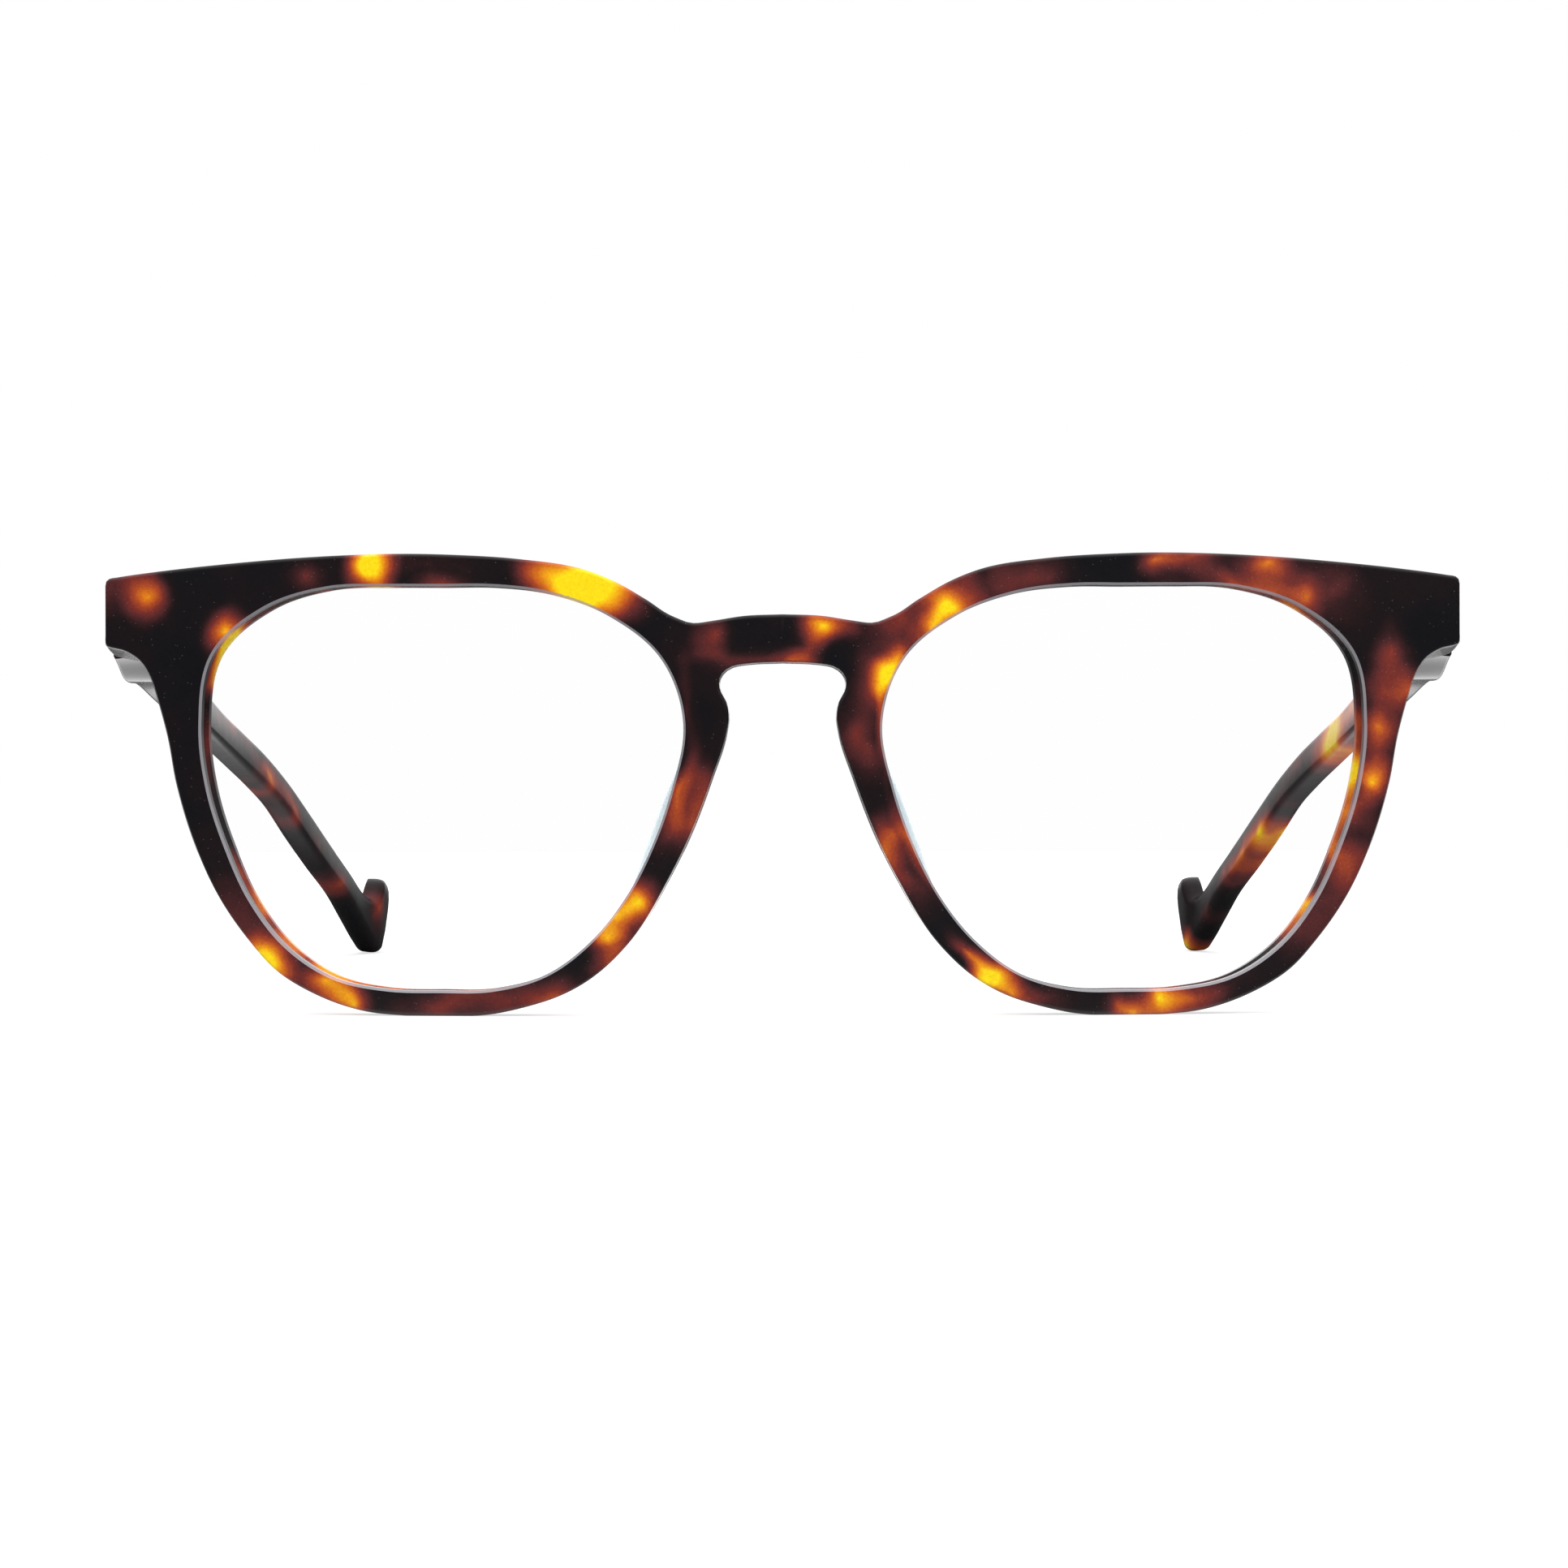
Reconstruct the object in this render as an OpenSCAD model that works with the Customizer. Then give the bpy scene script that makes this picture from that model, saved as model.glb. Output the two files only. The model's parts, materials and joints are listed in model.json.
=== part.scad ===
// Full-rim acetate spectacle frame with a keyhole bridge and two folding temples.
// +X is the wearer's left, +Y runs back to the ears, +Z is up. The frame stands open
// on z = 0, on the two rim bottoms and the two temple tips, centred on the origin.
// Lengths are in millimetres. The front is drawn flat, as [u, v] on the milled blank with
// w as depth behind its face, and is then bent round an upright cylinder.

/* [Front] */
// Width of each lens opening
lens_w = 51.9; // [46:0.1:58]
// Height of each lens opening
lens_h = 42.8; // [38:0.1:48]
// Distance between the two lens openings
bridge_w = 21; // [17:0.1:25]
// Thickness of the front
front_t = 3.8; // [3.4:0.1:4.6]
// Radius that the front is bent to
wrap_r = 400; // [300:10:700]
// Rounding of the front's outer edges
edge_r = 0.35; // [0.2:0.05:0.4]
// Growth of the end pieces from the face to the back, at their side and underside
end_grow = 0.9; // [0:0.05:1.1]
// Chamfer round the lens openings
chamfer = 0.25; // [0.15:0.05:0.5]

/* [Lenses] */
// Thickness of a lens
lens_t = 1.8; // [1.4:0.1:2.2]
// Height of the bevel on the lens edge
bevel_h = 0.7; // [0.4:0.05:0.9]
// Rise of the lens middle in front of its edge
lens_dome = 0.9; // [0.3:0.1:1.2]
// Gap between the lens and its groove
lens_gap = 0.08; // [0.05:0.01:0.12]

/* [Temples] */
// Length of a temple along the head, from the front's back face to the back of its tip
temple_l = 135; // [125:1:148]
// Thickness of a temple at the hinge
temple_t = 4; // [3.6:0.1:4.6]
// Rounding of the temple's long edges at the hinge
temple_r = 0.4; // [0.3:0.1:1]
// Rounding of the temple's long edges at the tip
tip_r = 1.5; // [0.8:0.1:1.6]
// Gap between the temple's end and the front
joint_gap = 0.12; // [0.08:0.01:0.3]
// Diameter of the core wire
wire_d = 1.4; // [1:0.1:1.6]
// Gap round the core wire
wire_gap = 0.05; // [0.03:0.01:0.1]

/* [Hinges] */
// Diameter of a hinge knuckle
knuckle_d = 2.6; // [2.4:0.1:3]
// Height of a hinge knuckle
knuckle_h = 1.05; // [0.9:0.05:1.15]
// Gap between neighbouring knuckles
knuckle_gap = 0.06; // [0.04:0.01:0.1]
// Clear space between a knuckle and the acetate
knuckle_air = 0.25; // [0.2:0.05:0.4]
// Thickness of the hinge plates
plate_t = 0.8; // [0.6:0.1:1]
// Gap round a plate in its pocket
plate_gap = 0.03; // [0.02:0.01:0.06]
// Diameter of the hinge screw
screw_d = 1.4; // [1.2:0.1:1.6]
// Radial clearance of the screw in its bores
screw_fit = 0.03; // [0.02:0.01:0.06]

/* [Nose pads] */
// Height of a nose pad behind the front
pad_h = 5.8; // [4:0.1:7]
// Lean of the pads away from the nose, across per unit of height
pad_lean = 0.46; // [0.3:0.02:0.6]
// Glue line under a pad
pad_glue = 0.05; // [0.03:0.01:0.1]

/* [Hidden] */

acetate = "#3d1c12";
pad_acetate = [0.84, 0.9, 0.92, 0.7];
steel = "#b9bcc2";
clear_lens = [0.85, 0.93, 0.95, 0.35];

// Sizes that the drawn outlines below belong to. Other sizes stretch the outlines to fit.
drawn_lens_w = 51.9;
drawn_lens_h = 42.8;
drawn_bridge_w = 21;
drawn_temple_l = 135;
drawn_temple_t = 4;
drawn_back = 10.4;
drawn_hinge_z = 42.3;
// Where along the front the growth of the end pieces starts and where it is full
grow_from = 68.5;
grow_to = 71;
lens_bottom = 2.7;

// Longest steps along the front's outer edge, a pad, a temple and a core wire, and the turn
// between two points of a pad's section
rim_step = 2.4;
pad_step = 1.6;
temple_step = 3;
wire_step = 6;
pad_turn = 22.5;

// Lens shape: radius from the lens middle every 15 degrees, from the temple side upwards
lens_radii = [25.2, 26.9, 28.5, 27.0, 24.5, 22.2, 21.4, 22.1, 23.7, 25.6, 27.2, 26.8,
    24.7, 23.4, 22.9, 22.8, 22.7, 22.0, 21.4, 22.0, 23.1, 23.6, 23.7, 24.0];
lens_turn = 360 / len(lens_radii);
lens_mid = [36.4, 24.1];

// Outer edge of half the front, from the bridge's top clockwise to its underside, as
// [u, v, direction from the lens middle to the lens edge point that faces it]
rim_rows = [
    [0, 42.4, 149], [4, 42.25, 148], [7.3, 41.75, 146.5], [9.4, 41.5, 145],
    [11.3, 42.1, 142.5], [14.4, 44, 136], [17.5, 45.8, 129], [21, 47.2, 121],
    [28, 48.35, 107], [35.2, 48.85, 93], [44.4, 48.95, 73], [56.4, 48.35, 54],
    [66, 47.5, 44], [71.9, 46.79, 37], [72.7, 46.66, 35.6], [73.04, 46.38, 34.8],
    [73.15, 45.9, 34.1], [73.15, 45.2, 33.4], [73.15, 40.6, 30.6], [73.15, 39.75, 30],
    [73.08, 39.48, 29.7], [72.88, 39.3, 29.4], [72.4, 39.17, 28.7], [71.2, 38.92, 27.5],
    [70.2, 38.45, 26], [69.5, 37.98, 24.5], [68.9, 37.35, 22.8], [68.3, 36.4, 21],
    [67.9, 35.55, 19.6], [67.45, 34.2, 17.8], [67.1, 33.05, 16.3],
    [66.3, 30.2, 12], [65.2, 24.6, 1], [63.5, 19, -10.5], [61, 13.4, -22.5],
    [57.1, 7.8, -37.5], [53.9, 4.5, -48.5], [49.2, 1.9, -60], [45, 0.55, -70],
    [40, 0, -82], [35, -0.1, -93], [30.5, 0.25, -103], [27.5, 0.9, -109.5],
    [23.5, 2.2, -118.5], [19.6, 4.5, -129], [16.4, 7.6, -138.5], [12, 14.6, -156],
    [10, 18.6, -165.5], [7.5, 25, -180], [5.9, 30, -191.5], [5.7, 32, -196],
    [5.95, 33.2, -198], [6.5, 34.2, -199.7], [6.7, 35.1, -201.5], [6.35, 36.1, -204],
    [5.3, 36.85, -206.5], [3.3, 37.17, -208.5], [0, 37.3, -210]];

// Temple seen from the side, from the hinge to the tip's end, as
// [depth and height of the top edge, depth and height of the bottom edge,
//  inset of the outer face from the end of the front, thickness]
temple_rows = [
    [8, 46.3, 7.6, 39.5, -0.2, 4], [14, 45.4, 13.2, 37.9, -0.1, 4],
    [18.2, 44.6, 17, 36.1, 0, 4], [24, 43, 22.7, 35.8, 0.1, 3.8],
    [33, 39.9, 32, 34.1, 0.5, 3.4], [45, 36.4, 44, 31.9, 0.9, 3.2],
    [58, 33.5, 57, 29.5, 1.4, 3.1], [72, 31, 71, 26.8, 2, 3.1],
    [86, 28.1, 84, 24, 2.8, 3.2], [97, 24.9, 94, 21.2, 3.7, 3.3],
    [107, 20.9, 103, 17.2, 4.9, 3.4], [118, 16.1, 113, 12.8, 6.4, 3.5],
    [127, 12, 123, 8.4, 8, 3.5], [132.5, 9.4, 130, 4.6, 9, 3.5],
    [135.3, 8.2, 135, 1.6, 9.9, 3.5], [136.1, 8, 137.6, 0.2, 10.4, 3.5],
    [136.6, 8.2, 140, 0, 10.8, 3.4], [137.1, 8.7, 142.4, 2.2, 11.1, 3.3],
    [137.7, 9.3, 144.6, 5.6, 11.4, 3.2], [138.7, 10.1, 145.4, 8.4, 11.6, 3],
    [140.4, 10.6, 144.8, 10, 11.7, 2.4], [141.8, 10.75, 143.6, 10.6, 11.7, 1.4]];
// Rows where the block behind the hinge ends and where the drop to the tip starts: a longer
// temple is stretched between them
block_end = temple_rows[3][0];
bend_start = temple_rows[9][0];
// First and last row whose middle the core wire runs through
wire_rows = [5, 13];

// Nose pad, from its foot to its top, as
// [height on the front, middle of the base, half its width, share of the full pad height]
pad_rows = [
    [10.6, 16.2, 0.5, 0.05], [11.4, 15.7, 0.9, 0.28], [13.2, 14.7, 1.15, 0.55],
    [16, 13.2, 1.3, 0.83], [19.5, 11.6, 1.4, 0.98], [23, 10.3, 1.4, 0.98],
    [26.5, 9.2, 1.4, 0.78], [29, 8.7, 1.25, 0.48], [30.6, 8.5, 0.9, 0.24],
    [31.4, 8.4, 0.5, 0.05]];

// A drawn length stretched between two drawn limits, and shifted beyond them
function stretch(x, from, to, more) = x + more * max(0, min(1, (x - from) / (to - from)));
function fit_u(u) = let (half = drawn_bridge_w / 2)
    stretch(u, 0, half, (bridge_w - drawn_bridge_w) / 2)
    + stretch(u, half, half + drawn_lens_w, lens_w - drawn_lens_w) - u;
function fit_v(v) = stretch(v, lens_bottom, lens_bottom + drawn_lens_h, lens_h - drawn_lens_h);
function fit_y(y) = stretch(y, block_end, bend_start, temple_l - drawn_temple_l) + end_back - drawn_back;

// Smooth curve through rows of numbers: slope at a row, point between two rows, whole curve
function slope(p, i) = i == 0 ? (p[1] - p[0]) / norm(p[1] - p[0])
    : i == len(p) - 1 ? (p[i] - p[i - 1]) / norm(p[i] - p[i - 1])
    : let (d0 = norm(p[i] - p[i - 1]), d1 = norm(p[i + 1] - p[i]))
        ((p[i + 1] - p[i]) * d0 / d1 + (p[i] - p[i - 1]) * d1 / d0) / (d0 + d1);
function between(p, i, f) = let (h = norm(p[i + 1] - p[i]))
    p[i] * (2 * f ^ 3 - 3 * f ^ 2 + 1) + slope(p, i) * h * (f ^ 3 - 2 * f ^ 2 + f)
    + p[i + 1] * (3 * f ^ 2 - 2 * f ^ 3) + slope(p, i + 1) * h * (f ^ 3 - f ^ 2);
function steps(p, i, d) = max(1, ceil(norm([p[i + 1][0] - p[i][0], p[i + 1][1] - p[i][1]]) / d));
function curve(p, d) = [for (i = [0 : len(p) - 2]) let (n = steps(p, i, d))
    for (k = [0 : n - 1]) between(p, i, k / n), p[len(p) - 1]];

// Lens edge
function wrapped(i) = lens_radii[(i + len(lens_radii)) % len(lens_radii)];
function lens_radius(a) = let (t = (a % 360 + 360) % 360 / lens_turn, i = floor(t), f = t - i,
    p = wrapped(i - 1), q = wrapped(i), r = wrapped(i + 1), s = wrapped(i + 2))
    q + 0.5 * f * (r - p + f * (2 * p - 5 * q + 4 * r - s + f * (3 * (q - r) + s - p)));
function lens_edge(a) = let (p = lens_mid + lens_radius(a) * [cos(a), sin(a)]) [fit_u(p.x), fit_v(p.y)];
function lens_out(a) = let (d = lens_edge(a + 0.5) - lens_edge(a - 0.5)) [d.y, -d.x] / norm(d);
lens_centre = [fit_u(lens_mid.x), fit_v(lens_mid.y)];
groove_w = front_t / 2;
bevel_w = lens_t / 2;

// Front blank to space, for the wearer's left half. Depths run back from the bridge, and
// the depth of the temple tips centres the part.
function turned(u) = u / wrap_r * 180 / PI;
function depth(u, w) = wrap_r - (wrap_r - w) * cos(turned(u));
end_u = fit_u(max([for (r = rim_rows) r[0]]));
end_x = wrap_r * sin(turned(end_u));
end_back = depth(end_u, front_t);
front_y = -fit_y(max([for (r = temple_rows) r[2]])) / 2;
function bend(u, v, w) = [(wrap_r - w) * sin(turned(u)), front_y + depth(u, w), v];

// Hinge: wrap angle at the pivot, pivot point, and the heights of the knuckles, which are
// numbered from the bottom
block_inset = temple_rows[0][4];
temple_in_x = end_x - block_inset - temple_t;
pivot_w = front_t + knuckle_d / 2 + knuckle_air;
hinge_turn = asin((temple_in_x - knuckle_d / 2 - knuckle_air) / (wrap_r - pivot_w));
hinge_u = hinge_turn * PI / 180 * wrap_r;
hinge_z = fit_v(drawn_hinge_z);
pivot = bend(hinge_u, hinge_z, pivot_w);
knuckles = 5;
pitch = knuckle_h + knuckle_gap;
function knuckle_z(i) = (i - (knuckles - 1) / 2) * pitch;

// Plates: the front's plate stands a little past the end knuckles and has an anchor behind
// it, and the temple's plate follows the slope of the temple
plate_margin = 0.1;
plate_w = 3;
plate_h = knuckles * pitch - knuckle_gap + 2 * plate_margin;
anchor = [1.6, 1.2, 4];
temple_plate = [8, 4.2];
temple_pitch = -10;
// Length of the temple's plate in front of the pivot
plate_lead = 0.7;
web_lead = 0.3;
tang_l = 2.2;
tang_h = 1.8;
tang_x = temple_t / 2 + 0.7;
// How far a pocket's cutter stands out of the face that it is open at
open_cut = 1;

// Closed tube through rings of equal point count, from the first ring's cap to the last's
module loft(rings) {
    n = len(rings[0]);
    m = len(rings);
    points = [for (r = rings) for (p = r) p];
    sides = [for (i = [0 : m - 2]) for (j = [0 : n - 1])
        let (a = i * n + j, b = i * n + (j + 1) % n)
        each [[a, b, b + n], [a, b + n, a + n]]];
    ends = [[for (j = [n - 1 : -1 : 0]) j], [for (j = [0 : n - 1]) (m - 1) * n + j]];
    polyhedron(points, concat(sides, ends), convexity = 10);
}

// Front
rim = [for (r = curve([for (r = rim_rows) [fit_u(r[0]), fit_v(r[1]), r[2]]], rim_step))
    [r[0], max(0, r[1]), r[2]]];
rim_n = len(rim);
function across(i) = i == 0 ? [1, 0] : i == rim_n - 1 ? [-1, 0]
    : [rim[i + 1][0] - rim[i - 1][0], rim[i + 1][1] - rim[i - 1][1]];
function inward(i) = let (d = across(i)) [d.y, -d.x] / norm(d);
// Share of the growth at a point of the outer edge
function grown(o) = max(0, min(1, (o.x - fit_u(grow_from)) / (grow_to - grow_from)));
function rim_section(i) = let (o = [rim[i][0], rim[i][1]], n = inward(i), a = rim[i][2],
    b = o - end_grow * grown(o) * [n.x, max(0, n.y)], l = lens_edge(a), m = lens_out(a), e = edge_r, c = chamfer, t = front_t, g = bevel_w)
    [for (q = [[o, e], [o + n * e * 0.3, e * 0.3], [o + n * e, 0],
        [l + m * c, 0], [l, c], [l, groove_w - g], [l + m * (bevel_h + lens_gap), groove_w],
        [l, groove_w + g], [l, t - c], [l + m * c, t],
        [b + n * e, t], [b + n * e * 0.3, t - e * 0.3], [b, t - e]])
        bend(q[0].x, q[0].y, q[1])];
rim_m = 13;
// Sections meet the mirror plane in the points of the outer edge, which both halves share
function on_seam(i, j) = (i == 0 || i == rim_n - 1) && (j < 3 || j > 9);
function rim_id(half, i, j) = (half == 0 || on_seam(i, j) ? 0 : rim_n * rim_m) + i * rim_m + j;

module front_blank() {
    left = [for (i = [0 : rim_n - 1]) each rim_section(i)];
    right = [for (p = left) [-p.x, p.y, p.z]];
    faces = [for (half = [0, 1]) for (i = [0 : rim_n - 1]) let (i2 = (i + 1) % rim_n)
        for (j = [0 : rim_m - 1]) let (j2 = (j + 1) % rim_m)
        if (i < rim_n - 1 || (j > 1 && j < 10))
            let (a = rim_id(half, i, j), b = rim_id(half, i, j2),
                c = rim_id(half, i2, j2), d = rim_id(half, i2, j))
            each half == 0 ? [[a, c, b], [a, d, c]] : [[a, b, c], [a, c, d]]];
    polyhedron(concat(left, right), faces, convexity = 10);
}

// Both sides: the wearer's left as drawn, the right mirrored
module side(right) {
    mirror([right ? 1 : 0, 0, 0]) children();
}

// Frame at the foot of the hinge: x along the front's back face, y away from it
module at_hinge() {
    translate(bend(hinge_u, hinge_z, front_t)) rotate([0, 0, hinge_turn]) children();
}

// Plate and anchor, or with a gap their pocket, which is open at the back face
module front_plate(gap) {
    translate([-plate_w / 2 - gap, -plate_t - gap, -plate_h / 2 - gap])
        cube([plate_w + 2 * gap, plate_t + (gap > 0 ? open_cut : 0), plate_h + 2 * gap]);
    translate([-anchor.x / 2 - gap, -plate_t - anchor.y - gap, -anchor.z / 2 - gap])
        cube([anchor.x + 2 * gap, anchor.y + 2 * gap, anchor.z + 2 * gap]);
}

module front_frame() {
    color(acetate) difference() {
        front_blank();
        for (right = [true, false]) side(right) at_hinge() front_plate(plate_gap);
    }
}

// Lens: rings as [share of the lens size, step out from the edge, depth]
lens_rings = let (f = groove_w - bevel_w, b = groove_w + bevel_w, g = lens_gap)
    concat([for (s = [0.25, 0.5, 0.72, 0.88]) [s, -g, f - lens_dome * (1 - s ^ 2)]],
        [[1, -g, f], [1, bevel_h, groove_w], [1, -g, b]],
        [for (s = [0.88, 0.72, 0.5, 0.25]) [s, -g, b - lens_dome * (1 - s ^ 2)]]);
lens_sides = 72;

module lens() {
    n = lens_sides;
    m = len(lens_rings);
    rings = [for (r = lens_rings) for (k = [0 : n - 1]) let (a = 360 * k / n,
        p = lens_centre + (lens_edge(a) + lens_out(a) * r[1] - lens_centre) * r[0])
        bend(p.x, p.y, r[2])];
    middle = [for (w = [groove_w - bevel_w, groove_w + bevel_w])
        bend(lens_centre.x, lens_centre.y, w - lens_dome)];
    sides = [for (i = [0 : m - 2]) for (k = [0 : n - 1])
        let (a = i * n + k, b = i * n + (k + 1) % n)
        each [[a, b, b + n], [a, b + n, a + n]]];
    fans = [for (k = [0 : n - 1]) let (k2 = (k + 1) % n)
        each [[k2, k, m * n], [(m - 1) * n + k, (m - 1) * n + k2, m * n + 1]]];
    polyhedron(concat(rings, middle), concat(sides, fans), convexity = 4);
}

module lens_right() { color(clear_lens) side(true) lens(); }
module lens_left() { color(clear_lens) side(false) lens(); }

// Nose pad
function pad_ring(r) = let (u = fit_u(r[1]), v = fit_v(r[0]), h = pad_h * r[3])
    [for (a = [0 : pad_turn : 180])
        bend(u + pad_lean * h * sin(a) ^ 1.5 + r[2] * cos(a), v, front_t + pad_glue + h * sin(a))];

module nose_pad() {
    loft([for (r = curve(pad_rows, pad_step)) pad_ring(r)]);
}

module nose_pad_right() { color(pad_acetate) side(true) nose_pad(); }
module nose_pad_left() { color(pad_acetate) side(false) nose_pad(); }

// Knuckles on the pivot, the webs that join them to the plates, and the bore for the screw
module knuckle(i) {
    translate([0, 0, knuckle_z(i) - knuckle_h / 2]) cylinder(h = knuckle_h, d = knuckle_d, $fn = 48);
}

module knuckle_web(i, from, size) {
    translate([from.x, from.y, knuckle_z(i) - knuckle_h / 2]) cube([size.x, size.y, knuckle_h]);
}

module screw_bore() {
    cylinder(h = (knuckles + 1) * pitch, d = screw_d + 2 * screw_fit, center = true, $fn = 48);
}

module front_hinge() {
    difference() {
        union() {
            at_hinge() front_plate(0);
            for (i = [0 : 2 : knuckles - 1]) {
                translate(pivot) knuckle(i);
                at_hinge() knuckle_web(i, [-knuckle_d / 2, -plate_t / 2],
                    [knuckle_d, plate_t / 2 + pivot_w - front_t]);
            }
        }
        translate(pivot) screw_bore();
    }
}

module front_hinge_right() { color(steel) side(true) front_hinge(); }
module front_hinge_left() { color(steel) side(false) front_hinge(); }

module at_temple_plate() {
    translate([temple_in_x, pivot.y, pivot.z]) rotate([temple_pitch, 0, 0]) children();
}

// Plate in the temple's inner face, with the tang that carries the core wire. With a gap
// it is their pocket, which is open at the inner face.
module temple_leaf(gap) {
    at_temple_plate() {
        translate([gap > 0 ? -open_cut : 0, -plate_lead - gap, -temple_plate.y / 2 - gap])
            cube([plate_t + (gap > 0 ? open_cut + gap : 0), temple_plate.x + 2 * gap,
                temple_plate.y + 2 * gap]);
        translate([plate_t / 2, temple_plate.x - plate_lead - tang_l - gap, -tang_h / 2 - gap])
            cube([tang_x - plate_t / 2 + gap, tang_l + 2 * gap, tang_h + 2 * gap]);
    }
}

module temple_hinge() {
    difference() {
        union() {
            temple_leaf(0);
            translate(pivot) for (i = [1 : 2 : knuckles - 2]) {
                knuckle(i);
                knuckle_web(i, [0, -web_lead],
                    [knuckle_d / 2 + knuckle_air + plate_t / 2, web_lead + knuckle_d / 2]);
            }
        }
        translate(pivot) screw_bore();
    }
}

module temple_hinge_right() { color(steel) side(true) temple_hinge(); }
module temple_hinge_left() { color(steel) side(false) temple_hinge(); }

// Screw: its head sits on the top knuckle and its end is flush with the bottom one
head_d = screw_d + 0.8;
head_h = 0.5;
head_gap = 0.02;
slot_w = 0.3;
slot_deep = 0.25;
module hinge_screw() {
    top = knuckle_z(knuckles - 1) + knuckle_h / 2 + head_gap;
    translate(pivot) difference() {
        union() {
            translate([0, 0, -top]) cylinder(h = 2 * top, d = screw_d, $fn = 48);
            translate([0, 0, top]) cylinder(h = head_h, d = head_d, $fn = 48);
        }
        translate([-head_d, -slot_w / 2, top + head_h - slot_deep])
            cube([2 * head_d, slot_w, open_cut]);
    }
}

module hinge_screw_right() { color(steel) side(true) hinge_screw(); }
module hinge_screw_left() { color(steel) side(false) hinge_screw(); }

// Temple
function placed(r) = [front_y + fit_y(r[0]), fit_v(r[1]), front_y + fit_y(r[2]), max(0, fit_v(r[3])),
    end_x - r[4], r[5] * temple_t / drawn_temple_t];
temple_path = [for (r = temple_rows) placed(r)];
corner_steps = [0, 30, 60, 90];
// Most of a section's height or thickness that one rounding takes
round_share = 0.45;
function rounding(y) = temple_r
    + (tip_r - temple_r) * max(0, min(1, (y - pivot.y) / (temple_path[len(temple_path) - 1][0] - pivot.y)));

// Ring round a section: corner centres pulled in by the rounding, then arcs about them
function temple_ring(r) = let (top = [r[0], r[1]], low = [r[2], max(0, r[3])], h = norm(top - low),
    up = (top - low) / h, mid = (top + low) / 2,
    c = min(rounding(mid.x), round_share * h, round_share * r[5]),
    a = r[5] / 2 - c, b = h / 2 - c, x0 = r[4] - r[5] / 2)
    [for (q = [[1, 1, 0], [-1, 1, 90], [-1, -1, 180], [1, -1, 270]]) for (s = corner_steps)
        let (x = q[0] * a + c * cos(s + q[2]), y = q[1] * b + c * sin(s + q[2]))
        [x0 + x, mid.x + up.x * y, mid.y + up.y * y]];

// Core wire: rings square to the middle line of the temple
wire_lead = 0.2;
wire_start = pivot.y + (temple_plate.x - plate_lead) * cos(temple_pitch) + wire_lead;
wire_line = concat(
    [[temple_in_x + temple_t / 2, wire_start,
        pivot.z + (temple_plate.x - plate_lead) * sin(temple_pitch)]],
    [for (i = [wire_rows[0] : wire_rows[1]]) let (r = temple_path[i])
        [r[4] - r[5] / 2, (r[0] + r[2]) / 2, (r[1] + r[3]) / 2]]);
wire_sides = 10;
channel_end = 0.3;
module core(gap) {
    line = curve([for (p = wire_line) [p.y, p.z, p.x]], wire_step);
    n = len(line);
    r = wire_d / 2 + gap;
    // The channel runs on past both ends of the wire, into the plate's pocket in front
    ends = gap > 0 ? channel_end : 0;
    loft([for (i = [0 : n - 1]) let (d = line[min(i + 1, n - 1)] - line[max(i - 1, 0)],
        up = [-d.y, d.x] / norm([d.x, d.y]), t = d / norm(d),
        c = line[i] + t * (i == 0 ? -ends : i == n - 1 ? ends : 0))
        [for (k = [0 : wire_sides - 1]) let (a = 360 * k / wire_sides)
            [c[2] + r * cos(a), c[0] + up.x * r * sin(a), c[1] + up.y * r * sin(a)]]]);
}

// Everything in front of the temple's end, which is parallel to the front there
joint_block = [24, 12, 30];
module joint_cut() {
    u = asin((end_x - block_inset - temple_t / 2) / wrap_r);
    translate(bend(u * PI / 180 * wrap_r, hinge_z, front_t + joint_gap)) rotate([0, 0, u])
        translate([-joint_block.x / 2, -joint_block.y, -joint_block.z / 2]) cube(joint_block);
}

module temple() {
    difference() {
        loft([for (r = curve(temple_path, temple_step)) temple_ring(r)]);
        joint_cut();
        temple_leaf(plate_gap);
        core(wire_gap);
    }
}

module temple_right() { color(acetate) side(true) temple(); }
module temple_left() { color(acetate) side(false) temple(); }
module core_wire_right() { color(steel) side(true) core(0); }
module core_wire_left() { color(steel) side(false) core(0); }

front_frame();
lens_right();
lens_left();
nose_pad_right();
nose_pad_left();
front_hinge_right();
front_hinge_left();
temple_hinge_right();
temple_hinge_left();
hinge_screw_right();
hinge_screw_left();
temple_right();
temple_left();
core_wire_right();
core_wire_left();
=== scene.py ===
import json
import math

import bmesh
import bpy
import numpy as np
from mathutils import Matrix, Vector


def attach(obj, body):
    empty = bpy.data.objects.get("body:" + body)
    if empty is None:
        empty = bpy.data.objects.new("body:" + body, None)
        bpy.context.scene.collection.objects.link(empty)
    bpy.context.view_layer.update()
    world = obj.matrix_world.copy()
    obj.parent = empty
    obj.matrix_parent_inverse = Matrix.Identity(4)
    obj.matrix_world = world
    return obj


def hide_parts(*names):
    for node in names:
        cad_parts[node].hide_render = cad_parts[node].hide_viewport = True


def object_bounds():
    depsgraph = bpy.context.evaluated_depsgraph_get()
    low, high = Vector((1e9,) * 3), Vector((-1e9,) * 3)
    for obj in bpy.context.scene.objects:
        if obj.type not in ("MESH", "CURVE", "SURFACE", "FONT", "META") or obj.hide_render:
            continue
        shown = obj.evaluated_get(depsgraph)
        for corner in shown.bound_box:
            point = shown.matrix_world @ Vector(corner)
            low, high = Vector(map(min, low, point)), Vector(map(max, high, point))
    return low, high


# Full-rim tortoiseshell spectacles on a white sweep, seen from straight in front.
# The part is drawn in millimetres, and MM turns them into Blender's metres. The wearer's left is +x.
MM = 0.001
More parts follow.
